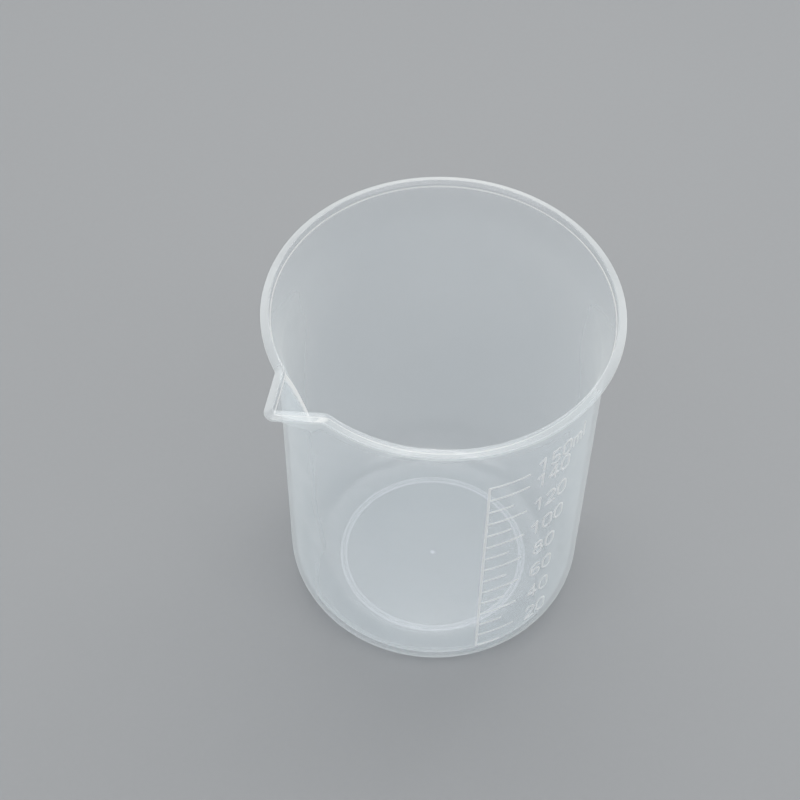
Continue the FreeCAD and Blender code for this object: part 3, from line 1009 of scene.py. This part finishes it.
def glyph(character, sizes):
    """The strokes of one character, centred on the origin."""
    w, h, n = sizes.half_width, sizes.half_height, sizes.segments
    bend = h - w
    two_tail, five_hook = -40, 140
    one_flag, one_stem, four_stem, four_bar = -0.75 * MM, 0.35 * MM, 0.4 * MM, -0.4 * h
    small, hump, shoulder = 0.83 * w, 0.55 * w, -0.05 * h
    shapes = {
        "0": [bow(0, bend, w, 0, 180, n), bow(0, -bend, w, 180, 360, n),
              bar(w, bend, w, -bend), bar(-w, bend, -w, -bend)],
        "1": [bar(one_flag, 0.5 * h, one_stem, h), bar(one_stem, h, one_stem, -h)],
        "2": [bow(0, bend, w, two_tail, 160, n), bar(*on_bow(0, bend, w, two_tail), -w, -h),
              bar(-w, -h, w, -h)],
        "4": [bar(four_stem, h, -w, four_bar), bar(-w, four_bar, w, four_bar),
              bar(four_stem, h, four_stem, -h)],
        "5": [bar(0.8 * w, h, -0.7 * w, h), bar(-0.7 * w, h, *on_bow(0, -bend, w, five_hook)),
              bow(0, -bend, w, -150, five_hook, n)],
        "6": loop(-bend, w, n) + [bar(-w, -bend, -w, bend), bow(0, bend, w, 40, 180, n)],
        "8": loop(h - small, small, n) + loop(-bend, w, n),
        "m": [bar(-2 * hump, shoulder + hump, -2 * hump, -h), bow(-hump, shoulder, hump, 0, 180, n),
              bar(0, shoulder, 0, -h), bow(hump, shoulder, hump, 0, 180, n),
              bar(2 * hump, shoulder, 2 * hump, -h)],
        "l": [bar(0, h, 0, -h)],
    }
    return shapes[character]


def numeral_paths(volume, height, sizes):
    """The strokes of one numeral in the flat, with the unit after the last one."""
    digits = str(volume)
    unit = "ml" if volume == VOLUMES[-1] else ""
    azimuth = sizes.numeral_azimuth - sizes.digit_step * (len(digits) - 1) / 2
    paths = []
    for character in digits + unit:
        if character == "l":
            azimuth += sizes.unit_step - sizes.digit_step
        shift = azimuth * flat_radius()
        paths += [[(x + shift, y + height) for x, y in path] for path in glyph(character, sizes)]
        azimuth += sizes.digit_step
    return paths


class BEAKER_OT_numerals(bpy.types.Operator):
    """Build the raised numerals beside the scale's long lines"""
    bl_idname = "beaker.numerals"
    bl_label = "Numerals"

    def execute(self, context):
        sizes = context.scene.beaker_scale
        for volume, node in sorted(NUMERALS.items()):
            paths = numeral_paths(volume, middle_height(node), sizes)
            mesh = shaped(
                node, path_mesh(node, paths), stroked(sizes, sizes.stroke), joined_in(sizes.cell), wrapped())
            placed(f"raised_{node}", mesh, "scale", node)
        return {"FINISHED"}


# ---- stage ----

# One soft light: its turn from the camera's azimuth and its elevation in degrees, its distance, its width
# and height in metres, its power in watts and its colour
Softbox = namedtuple("Softbox", "name turn elevation distance size power colour")

SOFTBOXES = (
    Softbox("back_softbox", 176, 68, 0.48, (0.4, 0.2), 1.0, (1.0, 0.985, 0.96)),
    Softbox("top_softbox", 0, 66, 0.9, (1.3, 0.2), 3.1, (1.0, 0.985, 0.96)),
    Softbox("left_softbox", -130, 24, 0.8, (0.35, 0.35), 0.5, (1.0, 0.99, 0.97)),
    Softbox("right_softbox", 130, 30, 0.8, (0.35, 0.35), 0.75, (1.0, 0.99, 0.97)),
)


def around(azimuth, elevation, distance):
    """The point at an azimuth, elevation and distance from the origin."""
    flat = distance * math.cos(elevation)
    return Vector((flat * math.sin(azimuth), -flat * math.cos(azimuth), distance * math.sin(elevation)))


def lay_floor(sizes, colour):
    """The floor: one wide flat sheet."""
    half = sizes.floor / 2
    corners = [(-half, -half, 0), (half, -half, 0), (half, half, 0), (-half, half, 0)]
    mesh = bpy.data.meshes.new("floor")
    mesh.from_pydata(corners, [], [(0, 1, 2, 3)])
    mesh.materials.append(matte_sheet("floor_sheet", colour))
    floor = bpy.data.objects.new("floor", mesh)
    bpy.context.scene.collection.objects.link(floor)


def light_sky(sizes):
    """The even light from all round."""
    world = bpy.data.worlds.new("studio")
    bpy.context.scene.world = world
    world.use_nodes = True
    background = world.node_tree.nodes["Background"]
    background.inputs["Color"].default_value = opaque(sizes.sky)
    background.inputs["Strength"].default_value = sizes.sky_strength


def hang_softbox(box, sizes):
    """One soft rectangular light that faces the beaker."""
    lamp = bpy.data.lights.new(box.name, "AREA")
    lamp.shape = "RECTANGLE"
    lamp.size, lamp.size_y = box.size
    lamp.energy = box.power
    lamp.color = box.colour
    light = bpy.data.objects.new(box.name, lamp)
    light.location = around(
        sizes.azimuth + math.radians(box.turn), math.radians(box.elevation), box.distance)
    facing = Vector((0.0, 0.0, sizes.aim)) - light.location
    light.rotation_euler = facing.to_track_quat("-Z", "Y").to_euler()
    bpy.context.scene.collection.objects.link(light)


def aim_camera(sizes):
    """The camera, above the beaker's front and to its left."""
    camera = bpy.data.objects.new("camera", bpy.data.cameras.new("camera"))
    camera.data.lens = sizes.lens
    camera.data.sensor_width = sizes.sensor
    camera.data.clip_start = sizes.clip
    place = around(sizes.azimuth, sizes.elevation, sizes.distance) + Vector((0.0, 0.0, sizes.target))
    look = Matrix.Rotation(sizes.look_azimuth, 4, "Z")
    tilt = Matrix.Rotation(math.pi / 2 - sizes.look_down, 4, "X")
    roll = Matrix.Rotation(sizes.roll, 4, "Z")
    camera.matrix_world = Matrix.Translation(place) @ look @ tilt @ roll
    bpy.context.scene.collection.objects.link(camera)
    bpy.context.scene.camera = camera


class BEAKER_OT_stage(bpy.types.Operator):
    """Build the floor, the lights and the camera"""
    bl_idname = "beaker.stage"
    bl_label = "Stage"

    def execute(self, context):
        scene = context.scene
        sizes = scene.beaker_stage
        lay_floor(sizes, tuple(scene.beaker_finish.floor))
        light_sky(sizes)
        for box in SOFTBOXES:
            hang_softbox(box, sizes)
        aim_camera(sizes)
        scene.view_settings.view_transform = "Standard"
        # A line of sight through the near wall, the base and the far wall meets more than eight clear faces
        scene.cycles.transparent_max_bounces = 24
        return {"FINISHED"}


# ---- panel and registration ----

class BEAKER_PT_panel(bpy.types.Panel):
    """Lists the beaker's parts, in the order in which they are built"""
    bl_idname = "BEAKER_PT_panel"
    bl_label = "Laboratory Beaker"
    bl_space_type = "VIEW_3D"
    bl_region_type = "UI"
    bl_category = "Beaker"

    def draw(self, context):
        for operator, group in STEPS:
            self.layout.operator(operator.bl_idname)
            self.draw_sizes(context, group)
        self.layout.label(text="Finish")
        self.draw_sizes(context, "beaker_finish")

    def draw_sizes(self, context, group):
        """Lists the values of one group."""
        for name in GROUPS[group].__annotations__:
            self.layout.prop(getattr(context.scene, group), name)


GROUPS = {
    "beaker_shell": ShellSizes,
    "beaker_foot": FootSizes,
    "beaker_scale": ScaleSizes,
    "beaker_finish": Finish,
    "beaker_stage": StageSizes,
}
STEPS = (
    (BEAKER_OT_shell, "beaker_shell"),
    (BEAKER_OT_foot, "beaker_foot"),
    (BEAKER_OT_scale_lines, "beaker_scale"),
    (BEAKER_OT_numerals, "beaker_scale"),
    (BEAKER_OT_stage, "beaker_stage"),
)
CLASSES = tuple(GROUPS.values()) + tuple(operator for operator, group in STEPS) + (BEAKER_PT_panel,)


def register():
    for kind in CLASSES:
        bpy.utils.register_class(kind)
    for name, group in GROUPS.items():
        setattr(bpy.types.Scene, name, PointerProperty(type=group))


def unregister():
    for name in GROUPS:
        delattr(bpy.types.Scene, name)
    for kind in reversed(CLASSES):
        bpy.utils.unregister_class(kind)


def main():
    register()
    bpy.ops.beaker.shell()
    bpy.ops.beaker.foot()
    bpy.ops.beaker.scale_lines()
    bpy.ops.beaker.numerals()
    bpy.ops.beaker.stage()


if __name__ == "__main__":
    main()
